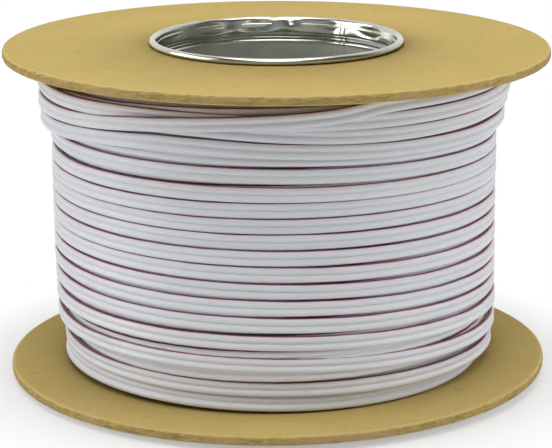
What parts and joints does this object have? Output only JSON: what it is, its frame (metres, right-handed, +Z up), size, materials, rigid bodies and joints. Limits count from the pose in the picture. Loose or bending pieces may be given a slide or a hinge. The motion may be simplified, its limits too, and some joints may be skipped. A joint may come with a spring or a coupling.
{
  "type": "reel of flat twin cable",
  "caption": "Round reel of white flat twin cable, wound on a beaded tinplate core tube between board flanges; the open bore takes a spindle.",
  "frame": {"origin": "centre of the lower rim's flat crest, which the reel stands on", "axes": "+Z up along the reel's axis, from the lower flange to the upper one"},
  "size_m": [0.18, 0.18, 0.1125],
  "materials": {
    "board": "smooth-faced tan hardboard with a rough punched edge",
    "tinplate": "bright tinned sheet",
    "cable_sheath": "soft white plastic sheath with a red tracer line"
  },
  "bodies": {
    "root": {"lower_flange": "board", "upper_flange": "board", "core_tube": "tinplate", "cable_winding": "cable_sheath"}
  },
  "joints": []
}
